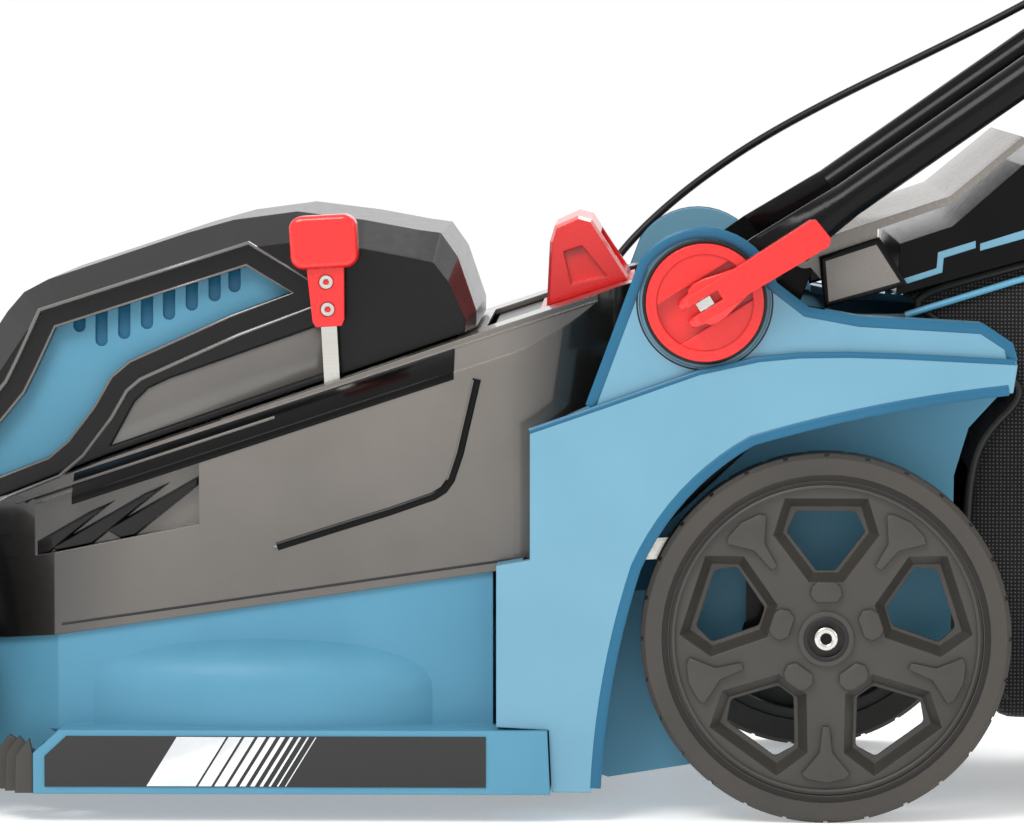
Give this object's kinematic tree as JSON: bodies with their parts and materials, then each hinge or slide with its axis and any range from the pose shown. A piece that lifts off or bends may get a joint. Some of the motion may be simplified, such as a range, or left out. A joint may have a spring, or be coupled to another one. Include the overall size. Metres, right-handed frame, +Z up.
{
  "type": "walk-behind rotary lawn mower",
  "caption": "Cordless walk-behind rotary mower: moulded deck with spinning blade, height lever, hinged battery lid, folding handle with bail, rear flap and grass bag.",
  "frame": {"origin": "middle of the bounding box, on the ground under the wheels", "axes": "+X towards the operator's end, -Y the operator's left, +Z up"},
  "size_m": [1.6314, 0.556, 1.0447],
  "materials": {
    "deck_blue": "glossy",
    "black_gloss": "glossy",
    "black_matte": "satin",
    "black_steel": "powder coat",
    "steel": "satin",
    "plated_steel": "plated",
    "aluminium": "cast",
    "red": "glossy",
    "wheel_brown": "satin",
    "tyre": "matte",
    "foam": "matte",
    "cable": "satin",
    "mesh": "woven mesh",
    "label": "glossy"
  },
  "bodies": {
    "deck": {"deck_shell": "deck_blue", "fender_left": "deck_blue", "fender_right": "deck_blue", "motor_cover": "black_gloss", "hood_shell": "black_gloss", "intake_panels": "deck_blue", "louvres": "black_gloss", "skirt_labels": "label", "grass_combs": "wheel_brown", "motor_can": "aluminium", "controller_box": "black_matte", "battery_tray": "black_matte", "battery_pack": "black_matte", "height_quadrant": "black_steel", "pivot_bushes": "black_matte", "cam_discs": "red", "cam_bolts": "plated_steel", "rear_cowl": "black_gloss", "flap_rod": "steel", "cable_free": "cable", "cable_gland": "black_matte"},
    "blade_rotor": {"motor_shaft": "steel", "blade_boss": "aluminium", "blade": "steel", "blade_bolt": "plated_steel"},
    "height_lever": {"lever_strip": "plated_steel", "lever_knob": "red", "lever_screws": "plated_steel"},
    "front_crank": {"front_crank": "black_steel"},
    "rear_crank": {"rear_crank": "black_steel"},
    "link_rod": {"link_rod": "plated_steel"},
    "lower_handle": {"handle_lower": "black_steel", "hinge_bolts": "plated_steel", "cable_lower": "cable"},
    "upper_handle": {"handle_upper": "black_steel", "grip_sleeve": "foam", "switch_box": "black_matte", "bail_bracket": "black_matte", "cable_upper": "cable"},
    "lock_knob_left": {"lock_knob_left": "black_matte"},
    "lock_knob_right": {"lock_knob_right": "black_matte"},
    "bail": {"bail": "black_steel"},
    "start_button": {"start_button": "red"},
    "cam_lever_left": {"cam_lever_left": "red"},
    "cam_lever_right": {"cam_lever_right": "red"},
    "battery_lid": {"lid_panel": "black_gloss", "lid_handle": "red"},
    "rear_flap": {"rear_flap": "black_gloss"},
    "grass_bag": {"bag_fabric": "mesh", "bag_lid": "black_gloss", "bag_strips": "deck_blue", "bag_grip": "black_gloss"},
    "wheel_rear_left": {"rim_rear_left": "wheel_brown", "tyre_rear_left": "tyre"},
    "wheel_rear_right": {"rim_rear_right": "wheel_brown", "tyre_rear_right": "tyre"},
    "wheel_front_left": {"rim_front_left": "wheel_brown", "tyre_front_left": "tyre"},
    "wheel_front_right": {"rim_front_right": "wheel_brown", "tyre_front_right": "tyre"}
  },
  "joints": [
    {"name": "blade_spin", "type": "hinge", "parent": "deck", "child": "blade_rotor", "pos_m": [-0.42223, 0, 0.05], "axis": [0, 0, 1], "continuous": true},
    {"name": "height_lever", "type": "hinge", "parent": "deck", "child": "height_lever", "pos_m": [-0.36823, -0.182, 0.16], "axis": [0, 1, 0], "range_deg": [-30, 16]},
    {"name": "front_crank", "type": "hinge", "parent": "deck", "child": "front_crank", "pos_m": [-0.75923, 0, 0.1015], "axis": [0, 1, 0], "range_deg": [-18.4, 34.5]},
    {"name": "rear_crank", "type": "hinge", "parent": "deck", "child": "rear_crank", "pos_m": [-0.07923, 0, 0.127], "axis": [0, 1, 0], "range_deg": [-18.4, 34.5]},
    {"name": "link_rod", "type": "hinge", "parent": "rear_crank", "child": "link_rod", "pos_m": [-0.07923, -0.197, 0.187], "axis": [0, 1, 0], "range_deg": [-34.5, 18.4]},
    {"name": "lower_handle", "type": "hinge", "parent": "deck", "child": "lower_handle", "pos_m": [-0.11772, 0, 0.3577], "axis": [0, -1, 0], "range_deg": [0, 125], "deforming": ["cable_free"]},
    {"name": "upper_handle", "type": "hinge", "parent": "lower_handle", "child": "upper_handle", "pos_m": [0.341, 0, 0.6789], "axis": [0, 1, 0], "range_deg": [-135, 0], "deforming": ["cable_upper"]},
    {"name": "lock_knob_left", "type": "hinge", "parent": "lower_handle", "child": "lock_knob_left", "pos_m": [0.341, -0.24, 0.6789], "axis": [0, -1, 0], "continuous": true},
    {"name": "lock_knob_right", "type": "hinge", "parent": "lower_handle", "child": "lock_knob_right", "pos_m": [0.341, 0.24, 0.6789], "axis": [0, 1, 0], "continuous": true},
    {"name": "bail", "type": "hinge", "parent": "upper_handle", "child": "bail", "pos_m": [0.726, 0, 0.94848], "axis": [0, 1, 0], "range_deg": [0, 27], "stiffness_Nm_per_rad": 0.5, "springref_deg": -28.65},
    {"name": "start_button", "type": "slide", "parent": "upper_handle", "child": "start_button", "axis": [0.5736, 0, -0.8192], "range_m": [0, 0.003], "stiffness_N_per_m": 400, "springref_m": -0.003},
    {"name": "cam_lever_left", "type": "hinge", "parent": "deck", "child": "cam_lever_left", "pos_m": [-0.11772, -0.27, 0.3577], "axis": [0.5255, 0, -0.8508], "range_deg": [0, 110]},
    {"name": "cam_lever_right", "type": "hinge", "parent": "deck", "child": "cam_lever_right", "pos_m": [-0.11772, 0.27, 0.3577], "axis": [-0.5255, 0, 0.8508], "range_deg": [0, 110]},
    {"name": "battery_lid", "type": "hinge", "parent": "deck", "child": "battery_lid", "pos_m": [-0.26328, 0, 0.32905], "axis": [0, -1, 0], "range_deg": [0, 55]},
    {"name": "rear_flap", "type": "hinge", "parent": "deck", "child": "rear_flap", "pos_m": [-0.04822, 0, 0.388], "axis": [0, -1, 0], "range_deg": [0, 40], "stiffness_Nm_per_rad": 0.6, "springref_deg": -28.65},
    {"name": "grass_bag", "type": "slide", "parent": "deck", "child": "grass_bag", "axis": [1, 0, 0], "range_m": [0, 0.3]},
    {"name": "wheel_rear_left", "type": "hinge", "parent": "rear_crank", "child": "wheel_rear_left", "pos_m": [-0.03422, -0.234, 0.127], "axis": [0, 1, 0], "continuous": true},
    {"name": "wheel_rear_right", "type": "hinge", "parent": "rear_crank", "child": "wheel_rear_right", "pos_m": [-0.03422, 0.234, 0.127], "axis": [0, 1, 0], "continuous": true},
    {"name": "wheel_front_left", "type": "hinge", "parent": "front_crank", "child": "wheel_front_left", "pos_m": [-0.71422, -0.234, 0.1015], "axis": [0, 1, 0], "continuous": true},
    {"name": "wheel_front_right", "type": "hinge", "parent": "front_crank", "child": "wheel_front_right", "pos_m": [-0.71422, 0.234, 0.1015], "axis": [0, 1, 0], "continuous": true}
  ],
  "couplings": [
    {"joint": "front_crank", "follows": "height_lever", "ratio": -1.15},
    {"joint": "rear_crank", "follows": "height_lever", "ratio": -1.15},
    {"joint": "link_rod", "follows": "height_lever", "ratio": 1.15}
  ]
}
